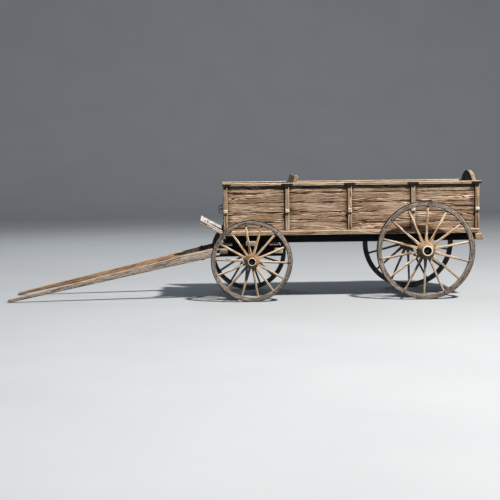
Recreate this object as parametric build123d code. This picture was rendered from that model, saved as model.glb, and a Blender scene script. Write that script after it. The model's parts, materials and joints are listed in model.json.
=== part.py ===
from build123d import *

import os
from math import asin, atan2, cos, degrees, hypot, radians, sin

# A four-wheeled farm wagon for one horse: a boarded box on two long beams, a front carriage that
# steers under a turntable, a pair of shafts hinged to it, and four spoked wheels with iron tyres.
#
# All sizes are in millimetres. +X points to the rear of the wagon, +Y to its right-hand side (the
# driver faces -X) and +Z up. While it is being built, X = 0 is the front axle; at the end the whole
# wagon is moved along X so that the origin lies on the ground under the middle of its length.

# ---------------------------------------------------------------- driving sizes

# Wheels: one set of sizes for the front pair and one for the rear pair
rear_wheel_diameter = 1300.0
front_wheel_diameter = 1075.0
wheelbase = 2301.0
track = 1560.0                  # between the middles of the two rims of an axle
tyre_thickness = 10.0
felloe_width = 60.0             # along the axle
nave_belt_margin = 6.0          # flat belt of a nave beyond its spokes, on each side
nave_nose_length = 22.0         # straight end of a nave's nose
nave_nose_step_length = 12.0    # flare behind it
nave_nose_step = 12.0           # and the rise of that flare
nave_lip = 5.0                  # chamfer round the mouth
back_length = 30.0              # tapered seat of the hoop on a nave's back end
back_flare = 4.0                # and the rise of that seat
hoop_height = 5.0
spoke_count = 14
felloe_count = 7                # two spokes to a felloe
felloe_gap = 1.5
felloe_chamfer = 7.0
spoke_width_at_rim = 28.0
spoke_depth_at_rim = 27.0
spoke_tenon_depth = 26.0        # into the nave
spoke_tenon_width = 26.0        # round the nave
spoke_tenon_thickness = 22.0    # along the axle
spoke_foot_length = 26.0        # square part of a spoke next to the nave
spoke_waist_share = 0.22        # where its taper ends, as a share of its length
spoke_shoulder_gap = 1.0        # between a spoke's shoulder and its felloe
tongue_radius = 10.0            # round tongue of a spoke in its felloe
tongue_depth = 24.0
joint_overlap = 2.0             # by which parts of one solid run into each other before they are joined
cutter_margin = 10.0            # by which a cutting shape runs past the wood it cuts
tyre_corner = 2.0
rim_rivet_radius = 10.0
rim_rivet_height = 3.5
wheel_sizes = {
    "front": dict(radius=front_wheel_diameter / 2, felloe_depth=51.0, nave_radius=98.0, nose_radius=56.0,
                  nose_hole=44.0, nave_out=140.0, nave_in=178.0, back_radius=72.0, arm_radius=22.0,
                  spoke_width=37.0, spoke_depth=34.0, nose_hole_depth=66.0),
    "rear": dict(radius=rear_wheel_diameter / 2, felloe_depth=56.0, nave_radius=122.0, nose_radius=72.0,
                 nose_hole=52.5, nave_out=150.0, nave_in=180.0, back_radius=84.0, arm_radius=27.5,
                 spoke_width=43.0, spoke_depth=38.0, nose_hole_depth=70.0),
}
# Angle of one spoke of each wheel, from +X up towards +Z
wheel_turn = {"front_left": 99.4, "front_right": 84.0, "rear_left": 87.5, "rear_right": 92.0}

# Axles and the beds that rest on them
front_axle_square = 50.0
rear_axle_square = 55.0
axle_box_wall = 11.0            # iron sleeve let into the nave
collar_length = 12.0
collar_height = 12.0
nave_end_play = 3.0
washer_play = 3.0               # between a nave and its washer
washer_thickness = 7.0
washer_clearance = 10.0         # between a washer or linch pin and the wall of the nave's mouth
linch_pin_radius = 6.0
linch_pin_gap = 6.0             # between the washer and the linch pin
arm_past_pin = 14.0             # end of the arm beyond the linch pin
bed_end_gap = 10.0              # between a bed's end and the collar
front_bed_width = 100.0
rear_bed_width = 110.0
rear_bed_least = 79.5
front_bed_least = 100.0
clip_thickness = 8.0
clip_width = 30.0
front_clip_gap = 20.0           # between the turntable ring and the clips of the front axle
rear_clip_gap = 25.0            # between a main beam and the clips of the rear axle

# Box of the wagon
front_overhang = 365.0          # front axle to the front end of the box
rear_overhang = 750.0           # rear axle to the rear end of the box
box_width = 1154.0              # over the side posts
beam_height = 103.0
beam_width = 90.0
beam_inset = 27.0               # between a sill's inner face and the beam below it
beam_front_setback = 35.0       # from the front end of the box
beam_rear_setback = 51.0        # and from its rear end
end_cap_reach = 4.0             # the sills and rails run this far past the boards at the front
sill_height = 58.0
sill_rebate = 19.0              # the lowest side board stands this deep in the sill
sill_chamfer = 4.0
side_height = 636.0             # top of the sill to the top of the rail
board_thickness = 28.0
boards_per_side = 5
board_gap = 3.0
board_chamfer = 2.5
post_width = 52.0
post_depth = 27.0
posts_per_side = 5
bay_growth = 12.0               # each bay between posts is this much longer than the one ahead of it
post_chamfer = 5.0
rail_height = 36.0
rail_inside = 7.0               # the rail stands this far inside the boards
rail_outside = 8.0              # and this far outside the posts
rail_tail = 29.0                # and runs on past the rear end of the box
floor_thickness = 23.0
floor_board_count = 7
bearer_width = 80.0
bearer_count = 9
headboard_height = 116.0
headboard_setback = 25.0        # from the front end of the box
headboard_round = 10.0

# Tail beam across the ends of the main beams
tail_above_beam_bottom = 10.0
tail_depth = 110.0
tail_height = 85.0
tail_past_posts = 13.0
tail_round = 45.0

# Tailboard, which lifts out of its guides
tailboard_thickness = 30.0
tailboard_play = 3.0
tailboard_lift_gap = 1.0        # between the tailboard and the floor
tailboard_cap_depth = 62.0
tailboard_crown = 134.0         # rise of the arch above the rails
tailboard_arch_half = 375.0
tailboard_inset = 58.0          # rear end of the box to the board's front face
guide_depth = 30.0
guide_width = 28.0
batten_width = 60.0
batten_from_middle = 330.0
batten_foot_gap = 12.0          # between a batten and the bottom of the tailboard

# Seat
seat_front = 180.0              # behind the front axle
seat_depth = 305.0
seat_top = 404.0                # above the floor
seat_thickness = 32.0
seat_round = 8.0
seat_bearer_width = 42.0
seat_bearer_height = 50.0
seat_bearer_rear = 90.0         # the bearers run on this far behind the seat board
back_thickness = 50.0
back_lean = 16.5                # degrees, top to the rear
back_above_rail = 102.0
back_round = 14.0
back_gap = 0.5                  # between the seat board and the back behind it

# Footboard in front of the box
footboard_rise = 28.0           # degrees
footboard_length = 325.0
footboard_low_x = 13.0          # ahead of the box
footboard_low_z = 12.0          # above the floor
plank_thickness = 22.0
plank_count = 3
footboard_inset = 25.0          # between its ends and the outer face of the posts
toe_plank_extra = 8.0
foot_rail_width = 44.0
foot_rail_height = 30.0
foot_rail_short = 10.0          # the rails end this far short of the planks

# Ironwork of the box
plate_thickness = 6.0
bracket_width = 150.0
bracket_bar = 27.0
bracket_rise = 4.0              # between the bottom of the rail and the bar of the tee
bracket_return = 45.0           # the front brackets are bent round the end of the rail this far
bracket_leg = 36.0
bracket_leg_width = 40.0
rivet_radius = 8.0
rivet_height = 4.0
bracket_rivet_share = 0.6       # how far down the leg its rivet sits
bolt_radius = 9.0
cleat_width = 48.0
cleat_height = 63.0
cleat_depth = 25.0
cleat_above_sill = 222.0
cleat_foot_share = 0.4          # depth of a cleat's foot, as a share of its full depth
cleat_slope_share = 0.42        # height of its sloping part, as a share of its full height
cleat_chamfer = 5.0
tie_ring_radius = 24.5
tie_ring_wire = 4.0
tie_eye_radius = 10.0
tie_eye_wire = 3.0
tie_ring_ahead = 7.0            # between the ring and the post that it hangs in front of
tie_ring_above_sill = 298.0     # its top
staple_shank_radius = 4.5
staple_plate_thickness = 4.0
staple_plate_half_width = 10.0
staple_plate_below = 10.0       # reach of the plate below the shank
staple_plate_above = 34.0       # and above it

# Turntable and front carriage
slat_height = 31.7
slat_inner = 250.0
slat_outer = 365.0
transom_width = 130.0
transom_height = 58.0
transom_half_length = 550.0
transom_chamfer = 8.0
ring_outer = 352.0
ring_inner = 307.0
ring_thickness = 20.0
turntable_gap = 0.3
kingpin_radius = 15.0
kingpin_head = 30.0
kingpin_head_height = 15.0
kingpin_nut_wall = 10.0
kingpin_nut_height = 22.0
kingpin_nut_gap = 0.6
bar_height = 70.0
bar_half_length = 500.0
splinter_bar_x = (-416.0, -314.0)
sway_bar_x = (320.0, 425.0)
futchell_height = 52.5
futchell_width = 60.0
futchell_from_middle = 260.0
bar_chamfer = 5.0
ring_bearer_width = 50.0

# Shafts
shaft_hinge_x = -470.0
shaft_hinge_below_bar = 7.0     # below the middle of the splinter bar
shaft_from_middle = 397.5
shaft_width = 55.0
shaft_reach = 2856.0            # hinge to tip
shaft_butt = 35.0               # hinge to the wood
shaft_root_height = 112.0
shaft_middle_height = 66.0
shaft_tip_height = 42.0
shaft_taper_start = 235.0
shaft_tip_round = 14.0
crossboard_rear = 222.0
crossboard_front = 590.0
crossboard_waist = 400.0
crossboard_thickness = 30.0
hinge_pin_radius = 9.0
hinge_pin_past_cheek = 8.0
hinge_eye_radius = 20.0
hinge_eye_width = 40.0
hinge_neck_share = 0.7          # half height of the neck behind the eye, as a share of the eye's radius
hinge_plate = 12.0
butt_plate_thickness = 9.0
strap_width = 40.0
strap_thickness = 6.0
strap_length = 205.0
strap_bolt_at = 188.0
strap_bolt_radius = 8.0
strap_bolt_head_radius = 15.0
strap_bolt_head_height = 9.0

running_clearance = 0.05        # radial, between a pin or arm and its hole
side_clearance = 0.5            # between the cheeks of a hinge and its eye

# ---------------------------------------------------------------- places worked out from them

box_front = -front_overhang
box_rear = wheelbase + rear_overhang
post_face = box_width / 2
board_face = post_face - post_depth
board_back = board_face - board_thickness

front_radius = wheel_sizes["front"]["radius"]
rear_radius = wheel_sizes["rear"]["radius"]
front_axle_top = front_radius + front_axle_square / 2
rear_axle_top = rear_radius + rear_axle_square / 2
turntable_height = 2 * ring_thickness + turntable_gap + slat_height

# The body stands level on the higher of the two gears, and the other bed is made as tall as it has to be.
body_level = max(rear_axle_top + rear_bed_least, front_axle_top + front_bed_least + turntable_height)
upper_ring_top = body_level - slat_height
lower_ring_top = upper_ring_top - ring_thickness - turntable_gap
front_bed_top = lower_ring_top - ring_thickness
futchell_top = front_bed_top - bar_height
futchell_bottom = futchell_top - futchell_height

sill_bottom = body_level + beam_height
sill_top = sill_bottom + sill_height
floor_bottom = sill_top - floor_thickness
rail_top = sill_top + side_height
rail_bottom = rail_top - rail_height
rail_face = post_face + rail_outside
rail_back = board_back - rail_inside
beam_outer = board_back - beam_inset
beam_inner = beam_outer - beam_width
beam_front = box_front + beam_front_setback
beam_rear = box_rear - beam_rear_setback
first_post = box_front + end_cap_reach + post_width / 2
last_post = box_rear - post_width / 2
bay_count = posts_per_side - 1
first_bay = (last_post - first_post) / bay_count - bay_growth * (bay_count - 1) / 2
post_places = [
    first_post + first_bay * number + bay_growth * number * (number - 1) / 2
    for number in range(posts_per_side)
]
footboard_half_width = post_face - footboard_inset
seat_level = sill_top + seat_top

shaft_hinge_z = futchell_top + bar_height / 2 - shaft_hinge_below_bar


def shaft_slope():
    """Angle of the shafts below level, in radians, at which the rounded tips just rest on the ground."""
    along = shaft_reach - shaft_tip_round
    above = shaft_root_height / 2 - shaft_tip_height + shaft_tip_round
    return asin((shaft_hinge_z - shaft_tip_round) / hypot(along, above)) + atan2(above, along)


# ---------------------------------------------------------------- helpers


def slab(x0, x1, y0, y1, z0, z1):
    """A rectangular piece between two corners."""
    middle = ((x0 + x1) / 2, (y0 + y1) / 2, (z0 + z1) / 2)
    return Pos(*middle) * Box(abs(x1 - x0), abs(y1 - y0), abs(z1 - z0))


def rod_y(x, z, radius, y0, y1):
    """A round bar along Y."""
    return Pos(x, (y0 + y1) / 2, z) * Rot(90, 0, 0) * Cylinder(radius, abs(y1 - y0))


def rod_z(x, y, radius, z0, z1):
    """A round bar along Z."""
    return Pos(x, y, (z0 + z1) / 2) * Cylinder(radius, abs(z1 - z0))


def side_profile(outline, y0, y1):
    """A piece with the given closed outline in X and Z, between two Y values."""
    face = make_face(Plane.XZ * outline)
    return Pos(0, y1, 0) * extrude(face, y1 - y0)


def end_profile(outline, x0, x1):
    """A piece with the given closed outline in Y and Z, between two X values."""
    face = make_face(Plane.YZ * outline)
    return Pos(x0, 0, 0) * extrude(face, x1 - x0)


def turned(outline):
    """A piece turned about the Y axis, from a closed outline of radius and Y."""
    return revolve(make_face(outline), Axis.Y)


def both_sides(pieces):
    """The given right-hand pieces and their left-hand twins."""
    return pieces + [mirror(piece, about=Plane.XZ) for piece in pieces]


# ---------------------------------------------------------------- wheels


def spoke_turns():
    """The turns, about the axle, that carry a spoke from the top of the wheel to each of its places."""
    return [Rot(0, 360 / spoke_count * number, 0) for number in range(spoke_count)]


def spoke_tenon(low, high):
    """The square tenon of the spoke at the top of the wheel, between two heights above the axle."""
    half_width = spoke_tenon_width / 2
    half_thickness = spoke_tenon_thickness / 2
    return slab(-half_width, half_width, -half_thickness, half_thickness, low, high)


def mouth_floor(size):
    """Distance from the middle of the rim to the floor of the open mouth in a nave's nose."""
    return size["nave_out"] - size["nose_hole_depth"]


def inner_rim(size):
    """Radius of the inner face of the felloes."""
    return size["radius"] - tyre_thickness - size["felloe_depth"]


def wheel_nave(size):
    """Turned hub: a cone towards the nose with an open mouth, a flat belt for the spokes, a taper inwards."""
    belt = size["spoke_depth"] / 2 + nave_belt_margin
    bore = size["arm_radius"] + running_clearance + axle_box_wall
    mouth = mouth_floor(size)
    nose_start = size["nave_out"] - nave_nose_length
    outline = Polyline(
        (bore, -size["nave_in"]),
        (size["back_radius"], -size["nave_in"]),
        (size["back_radius"] + back_flare, -size["nave_in"] + back_length),
        (size["nave_radius"], -belt),
        (size["nave_radius"], belt),
        (size["nose_radius"] + nave_nose_step, nose_start - nave_nose_step_length),
        (size["nose_radius"], nose_start),
        (size["nose_radius"], size["nave_out"] - nave_lip),
        (size["nose_radius"] - nave_lip, size["nave_out"]),
        (size["nose_hole"], size["nave_out"]),
        (size["nose_hole"], mouth),
        (bore, mouth),
        close=True,
    )
    tenon = spoke_tenon(size["nave_radius"] - spoke_tenon_depth, size["nave_radius"] + cutter_margin)
    return [turned(outline) - [turn * tenon for turn in spoke_turns()]]


def wheel_spokes(size):
    """Shaved spokes: wide and square at the nave, oval at the rim, tenoned into both."""
    foot = size["nave_radius"]
    shoulder = inner_rim(size) - spoke_shoulder_gap
    waist = foot + spoke_waist_share * (shoulder - foot)
    # height above the axle, width round the wheel, depth along the axle and corner radius
    sections = [
        (foot, size["spoke_width"], size["spoke_depth"], 5.0),
        (foot + spoke_foot_length, size["spoke_width"] - 3.0, size["spoke_depth"] - 1.0, 7.0),
        (waist, spoke_width_at_rim + 3.0, spoke_depth_at_rim + 4.0, 11.0),
        (shoulder, spoke_width_at_rim, spoke_depth_at_rim, 12.0),
    ]
    faces = [
        Plane.XY.offset(height) * RectangleRounded(width, depth, corner)
        for height, width, depth, corner in sections
    ]
    spoke = loft(faces, ruled=True)
    spoke += spoke_tenon(foot - spoke_tenon_depth, foot + joint_overlap)
    spoke += rod_z(0, 0, tongue_radius, shoulder - joint_overlap, inner_rim(size) + tongue_depth)
    return [turn * spoke for turn in spoke_turns()]


def wheel_felloes(size):
    """Seven sawn rim segments, each over two spokes, with a fine gap at every joint."""
    outer = size["radius"] - tyre_thickness
    inner = inner_rim(size)
    half = felloe_width / 2
    step = 360 / felloe_count
    gap_angle = degrees(felloe_gap / outer)
    outline = Polyline(
        (outer, -half),
        (outer, half),
        (inner + felloe_chamfer, half),
        (inner, half - felloe_chamfer),
        (inner, felloe_chamfer - half),
        (inner + felloe_chamfer, -half),
        close=True,
    )
    segment = revolve(make_face(outline), Axis.Y, revolution_arc=step - gap_angle)
    # a segment made from +X is turned to reach over the spoke at the top and the next one
    start = -90 + (step - gap_angle) / 2
    segment = Rot(0, start + step / 4 - (step - gap_angle), 0) * segment
    tongue = rod_z(0, 0, tongue_radius, inner - cutter_margin, inner + tongue_depth)
    segment -= [tongue, Rot(0, step / 2, 0) * tongue]
    return [Rot(0, step * number, 0) * segment for number in range(felloe_count)]


def wheel_tyre(size):
    """Iron tyre shrunk on the felloes, with worn corners."""
    half = felloe_width / 2
    outline = Polyline(
        (size["radius"] - tyre_thickness, -half),
        (size["radius"] - tyre_corner, -half),
        (size["radius"], tyre_corner - half),
        (size["radius"], half - tyre_corner),
        (size["radius"] - tyre_corner, half),
        (size["radius"] - tyre_thickness, half),
        close=True,
    )
    return [turned(outline)]


def wheel_irons(size):
    """The iron axle box in the nave, the hoop on its back end and the rivets at alternate spokes."""
    bore = size["arm_radius"] + running_clearance
    mouth = mouth_floor(size)
    box_outline = Polyline(
        (bore, -size["nave_in"]),
        (bore + axle_box_wall, -size["nave_in"]),
        (bore + axle_box_wall, mouth),
        (bore, mouth),
        close=True,
    )
    hoop_outline = Polyline(
        (size["back_radius"], -size["nave_in"]),
        (size["back_radius"] + back_flare, -size["nave_in"] + back_length),
        (size["back_radius"] + back_flare + hoop_height, -size["nave_in"] + back_length),
        (size["back_radius"] + hoop_height, -size["nave_in"]),
        close=True,
    )
    middle = inner_rim(size) + size["felloe_depth"] / 2
    half = felloe_width / 2
    rivets = []
    for number in range(felloe_count):
        turn = Rot(0, 360 / felloe_count * number, 0)
        rivets.append(turn * rod_y(0, middle, rim_rivet_radius, half, half + rim_rivet_height))
        rivets.append(turn * rod_y(0, middle, rim_rivet_radius, -half - rim_rivet_height, -half))
    return [turned(box_outline), turned(hoop_outline)] + rivets


def wheel_nodes():
    """The four wheels. Each is made with its nose towards +Y, and a left-hand wheel is the mirror image."""
    makers = {
        "nave": wheel_nave,
        "spokes": wheel_spokes,
        "felloes": wheel_felloes,
        "tyre": wheel_tyre,
        "irons": wheel_irons,
    }
    nodes = {}
    for axle, axle_x in (("front", 0.0), ("rear", wheelbase)):
        size = wheel_sizes[axle]
        for piece, maker in makers.items():
            solids = maker(size)
            for side in ("left", "right"):
                turn = Rot(0, 90 - wheel_turn[f"{axle}_{side}"], 0)
                place = Pos(axle_x, track / 2, size["radius"]) * turn
                placed = [place * solid for solid in solids]
                if side == "left":
                    placed = [mirror(solid, about=Plane.XZ) for solid in placed]
                nodes[f"{axle}_{side}_{piece}"] = placed
    return nodes


# ---------------------------------------------------------------- axles


def axle_shoulder(size):
    """Y of the face that a wheel's nave runs against."""
    return track / 2 - size["nave_in"] - nave_end_play


def washer_face(size):
    """Y of the outer face of the washer that keeps a nave on its arm."""
    return track / 2 + mouth_floor(size) + washer_play + washer_thickness


def linch_pin_y(size):
    """Y of a linch pin, just outside its washer."""
    return washer_face(size) + linch_pin_gap + linch_pin_radius


def iron_axle(axle_x, size, square):
    """Square iron bar with a collar and a round arm at each end, drilled for the linch pins."""
    shoulder = axle_shoulder(size)
    half = square / 2
    low = size["radius"]
    axle = slab(axle_x - half, axle_x + half, -shoulder, shoulder, low - half, low + half)
    collar = size["arm_radius"] + collar_height
    arm_start = shoulder - joint_overlap
    arm_end = linch_pin_y(size) + linch_pin_radius + arm_past_pin
    for side in (-1, 1):
        axle += rod_y(axle_x, low, collar, side * (shoulder - collar_length), side * shoulder)
        axle += rod_y(axle_x, low, size["arm_radius"], side * arm_start, side * arm_end)
        axle -= linch_pin(axle_x, size, side)
    return axle


def linch_pin(axle_x, size, side):
    """Upright pin through the end of an axle arm."""
    half = size["nose_hole"] - washer_clearance
    return rod_z(
        axle_x, side * linch_pin_y(size), linch_pin_radius, size["radius"] - half, size["radius"] + half
    )


def axle_fastenings(axle_x, size, clip_middle, half_bed, low, high):
    """Washers and linch pins that keep the wheels on, and the clips that bind the axle to its bed."""
    pieces = []
    outer_face = washer_face(size)
    inner_face = outer_face - washer_thickness
    washer_radius = size["nose_hole"] - washer_clearance
    for side in (-1, 1):
        pieces.append(linch_pin(axle_x, size, side))
        washer = rod_y(axle_x, size["radius"], washer_radius, side * inner_face, side * outer_face)
        washer -= rod_y(axle_x, size["radius"], size["arm_radius"], side * inner_face, side * outer_face)
        pieces.append(washer)
        y0 = side * (clip_middle - clip_width / 2)
        y1 = side * (clip_middle + clip_width / 2)
        outer = half_bed + clip_thickness
        clip = slab(axle_x - outer, axle_x + outer, y0, y1, low - clip_thickness, high + clip_thickness)
        clip -= slab(axle_x - half_bed, axle_x + half_bed, y0, y1, low, high)
        pieces.append(clip)
    return pieces


def axle_nodes():
    front = wheel_sizes["front"]
    rear = wheel_sizes["rear"]
    front_axle = iron_axle(0.0, front, front_axle_square)
    rear_axle = iron_axle(wheelbase, rear, rear_axle_square)
    kingpin_hole = rod_z(0, 0, kingpin_radius + running_clearance, 0, body_level)
    front_axle -= kingpin_hole
    front_end = axle_shoulder(front) - collar_length - bed_end_gap
    rear_end = axle_shoulder(rear) - collar_length - bed_end_gap
    half_front = front_bed_width / 2
    half_rear = rear_bed_width / 2
    front_bed = slab(-half_front, half_front, -front_end, front_end, front_axle_top, front_bed_top)
    front_bed -= futchell_bars() + [kingpin_hole]
    rear_bed = slab(
        wheelbase - half_rear, wheelbase + half_rear, -rear_end, rear_end, rear_axle_top, body_level
    )
    front_low = front_axle_top - front_axle_square
    rear_low = rear_axle_top - rear_axle_square
    front_clip = ring_outer + front_clip_gap + clip_width / 2
    rear_clip = beam_inner - rear_clip_gap - clip_width / 2
    return {
        "front_axle": [front_axle],
        "rear_axle": [rear_axle],
        "front_axle_bed": [front_bed],
        "rear_axle_bed": [rear_bed],
        "front_axle_fastenings": axle_fastenings(
            0.0, front, front_clip, half_front, front_low, front_bed_top
        ),
        "rear_axle_fastenings": axle_fastenings(
            wheelbase, rear, rear_clip, half_rear, rear_low, body_level
        ),
    }


# ---------------------------------------------------------------- box


def sides_nodes():
    """Sills, posts, boards and rails of the two long sides."""
    sill = slab(box_front, box_rear, board_back, post_face, sill_bottom, sill_top)
    sill -= slab(box_front, box_rear, board_back, board_face, sill_top - sill_rebate, sill_top)
    sill = chamfer(sill.edges().filter_by(Axis.X).group_by(Axis.Y)[-1], sill_chamfer)

    pitch = (side_height + sill_rebate) / boards_per_side
    boards = []
    for number in range(boards_per_side):
        low = sill_top - sill_rebate + pitch * number
        high = min(low + pitch, rail_bottom)
        low += board_gap / 2 if number else 0
        high -= 0 if number == boards_per_side - 1 else board_gap / 2
        board = slab(box_front + end_cap_reach, box_rear, board_back, board_face, low, high)
        boards.append(chamfer(board.edges().filter_by(Axis.X).group_by(Axis.Y)[-1], board_chamfer))

    posts = []
    for place in post_places:
        half = post_width / 2
        post = slab(place - half, place + half, board_face, post_face, sill_top, rail_bottom)
        posts.append(chamfer(post.edges().filter_by(Axis.Z).group_by(Axis.Y)[-1], post_chamfer))

    rail = slab(box_front, box_rear + rail_tail, rail_back, rail_face, rail_bottom, rail_top)
    rail = chamfer(rail.edges().filter_by(Axis.X), sill_chamfer)
    return {
        "side_sills": both_sides([sill]),
        "side_boards": both_sides(boards),
        "side_posts": both_sides(posts),
        "top_rails": both_sides([rail]),
    }


def floor_nodes():
    """Main beams, the bearers across them, the floor, the low headboard and the tail beam."""
    beam = slab(beam_front, beam_rear, beam_inner, beam_outer, body_level, sill_bottom)
    bearers = []
    first = box_front + bearer_width / 2
    last = box_rear - bearer_width / 2
    for number in range(bearer_count):
        place = first + (last - first) * number / (bearer_count - 1)
        half = bearer_width / 2
        bearers.append(slab(place - half, place + half, -board_back, board_back, sill_bottom, floor_bottom))
    width = (2 * board_back + board_gap) / floor_board_count
    floor_boards = []
    for number in range(floor_board_count):
        y0 = -board_back + width * number
        floor_boards.append(slab(box_front, box_rear, y0, y0 + width - board_gap, floor_bottom, sill_top))
    head_x = box_front + headboard_setback
    headboard = slab(
        head_x, head_x + board_thickness, -board_back, board_back, sill_top, sill_top + headboard_height
    )
    headboard = fillet(headboard.edges().filter_by(Axis.Y).group_by(Axis.Z)[-1], headboard_round)
    tail_low = body_level + tail_above_beam_bottom
    tail_half = post_face + tail_past_posts
    tail = slab(beam_rear, beam_rear + tail_depth, -tail_half, tail_half, tail_low, tail_low + tail_height)
    rear_edges = tail.edges().filter_by(Axis.Y).group_by(Axis.X)[-1]
    tail = fillet(rear_edges.sort_by(Axis.Z)[-1], tail_round)
    return {
        "main_beams": both_sides([beam]),
        "cross_bearers": bearers,
        "floor_boards": floor_boards,
        "headboard": [headboard],
        "tail_beam": [tail],
    }


def tailboard_nodes():
    """Boards, arched cap and battens that lift out together, and the guides that hold them."""
    front = box_rear - tailboard_inset
    rear = front + tailboard_thickness
    # everything lifts out between the rails, which stand further in than the side boards
    half = min(board_back, rail_back) - tailboard_play
    low = sill_top + tailboard_lift_gap
    pitch = (rail_bottom - low) / boards_per_side
    boards = []
    for number in range(boards_per_side):
        top = low + pitch * (number + 1) - (0 if number == boards_per_side - 1 else board_gap)
        boards.append(slab(front, rear, -half, half, low + pitch * number, top))
    outline = Polyline(
        (-tailboard_arch_half, rail_top),
        (-half, rail_top),
        (-half, rail_bottom),
        (half, rail_bottom),
        (half, rail_top),
        (tailboard_arch_half, rail_top),
    ) + ThreePointArc(
        (tailboard_arch_half, rail_top),
        (0, rail_top + tailboard_crown),
        (-tailboard_arch_half, rail_top),
    )
    cap = end_profile(outline, front, front + tailboard_cap_depth)
    batten_rear = front + tailboard_cap_depth
    batten = slab(
        rear, batten_rear, batten_from_middle - batten_width / 2, batten_from_middle + batten_width / 2,
        low + batten_foot_gap, rail_bottom,
    )
    inner_guide = slab(
        front - tailboard_play - guide_width, front - tailboard_play, board_back - guide_depth, board_back,
        sill_top, rail_bottom,
    )
    outer_guide = slab(
        rear + tailboard_play, box_rear, board_back - guide_depth, board_back, sill_top, rail_bottom
    )
    return {
        "tailboard_boards": boards + [cap],
        "tailboard_battens": both_sides([batten]),
        "tailboard_guides": both_sides([inner_guide, outer_guide]),
    }


def seat_nodes():
    """Seat board on two bearers, and a leaning back behind it whose upper board rests on the rails."""
    rear = seat_front + seat_depth
    underside = seat_level - seat_thickness
    board = slab(seat_front, rear, -board_back, board_back, underside, seat_level)
    board = fillet(board.edges().filter_by(Axis.Y).group_by(Axis.X)[0], seat_round)
    bearer = slab(
        seat_front, rear + seat_bearer_rear, board_back - seat_bearer_width, board_back,
        underside - seat_bearer_height, underside,
    )
    # the back stands on the bearers, and its front face leans away from the seat board's rear edge
    high = rail_top + back_above_rail
    length = (high - underside) / cos(radians(back_lean))
    plank = slab(0, back_thickness, -post_face, post_face, -back_thickness, length)
    plank = fillet(plank.edges().filter_by(Axis.Y).group_by(Axis.Z)[-1], back_round)
    plank = Pos(rear + back_gap, 0, underside) * Rot(0, back_lean, 0) * plank
    reach = 2 * length
    upper = plank & slab(rear - reach, rear + reach, -post_face, post_face, rail_top, high + reach)
    lower = plank & slab(rear - reach, rear + reach, -rail_back, rail_back, underside, rail_top)
    return {"seat_board": [board], "seat_bearers": both_sides([bearer]), "seat_back": [lower, upper]}


def footboard_point(along, above):
    """X and Z of a point on the footboard: along it up to the front, and above its upper face."""
    rise = radians(footboard_rise)
    x = box_front - footboard_low_x - along * cos(rise) + above * sin(rise)
    z = sill_top + footboard_low_z + along * sin(rise) + above * cos(rise)
    return (x, z)


def footboard_nodes():
    """Sloping planks for the driver's feet on two rails that butt against the sills."""
    width = (footboard_length + board_gap) / plank_count
    planks = []
    for number in range(plank_count):
        start = width * number
        end = start + width - board_gap
        half = footboard_half_width + (toe_plank_extra if number == plank_count - 1 else 0)
        outline = Polyline(
            footboard_point(start, 0),
            footboard_point(end, 0),
            footboard_point(end, -plank_thickness),
            footboard_point(start, -plank_thickness),
            close=True,
        )
        planks.append(side_profile(outline, -half, half))
    under = -plank_thickness - foot_rail_height
    rise = radians(footboard_rise)
    reach = footboard_length - foot_rail_short
    top_x, top_z = footboard_point(0, -plank_thickness)
    low_x, low_z = footboard_point(0, under)
    slope = sin(rise) / cos(rise)
    outline = Polyline(
        (box_front, top_z - (box_front - top_x) * slope),
        footboard_point(reach, -plank_thickness),
        footboard_point(reach, under),
        (box_front, low_z - (box_front - low_x) * slope),
        close=True,
    )
    outer = footboard_half_width
    rail = side_profile(outline, outer - foot_rail_width, outer)
    return {"footboard_planks": planks, "footboard_rails": both_sides([rail])}


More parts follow.
